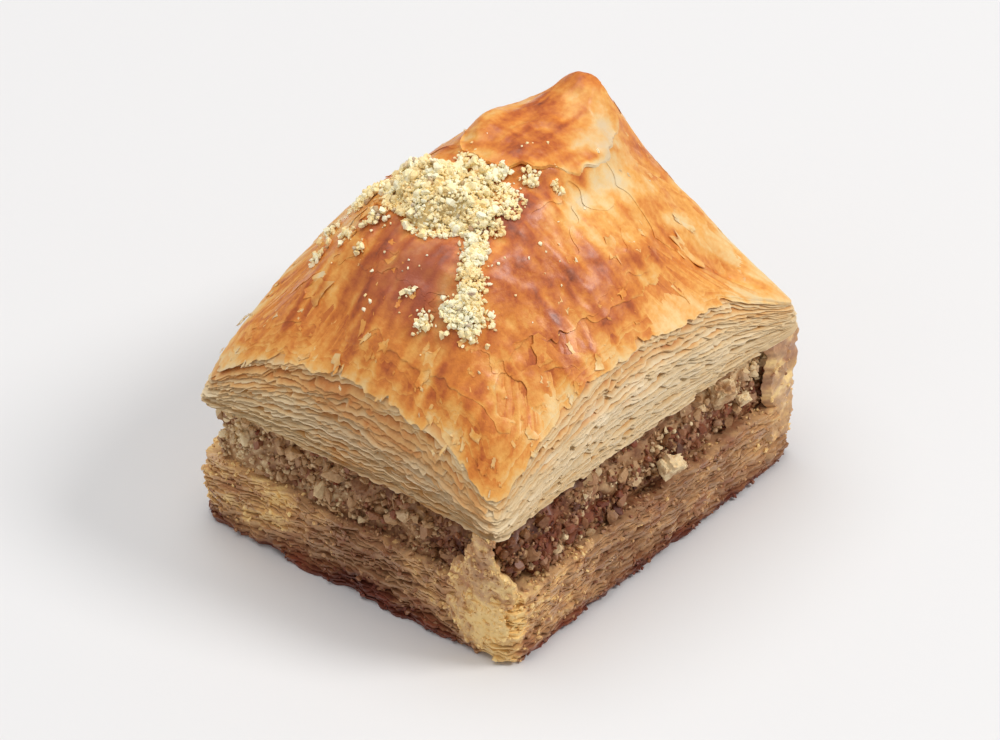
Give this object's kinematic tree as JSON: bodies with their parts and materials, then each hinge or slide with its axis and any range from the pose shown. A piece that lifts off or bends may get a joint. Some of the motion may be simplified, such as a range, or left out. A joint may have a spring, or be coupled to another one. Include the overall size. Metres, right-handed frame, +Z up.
{
  "type": "baklava piece",
  "caption": "Square-cut piece of layered nut pastry: soaked leaves below, a ground walnut band, and a domed flaky cap strewn with nut crumbs.",
  "frame": {"origin": "on the resting plane, under the middle of the piece's bounding box", "axes": "+Z up; +Y along the longer side of the cut, +X across it; the front corner looks towards +X and -Y"},
  "size_m": [0.0369, 0.0415, 0.0382],
  "materials": {
    "base_pastry": "syrup-soaked pastry leaves, amber brown, slightly glossy",
    "nut_filling": "ground walnut, moist and grainy, brown with cream bits",
    "top_pastry": "baked flaky pastry, golden to orange brown with cream leaf edges, glazed with syrup",
    "nut_crumbs": "pale ground nut crumbs, dry"
  },
  "bodies": {
    "root": {"base_pastry": "base_pastry", "nut_filling": "nut_filling", "top_pastry": "top_pastry"}
  },
  "joints": []
}
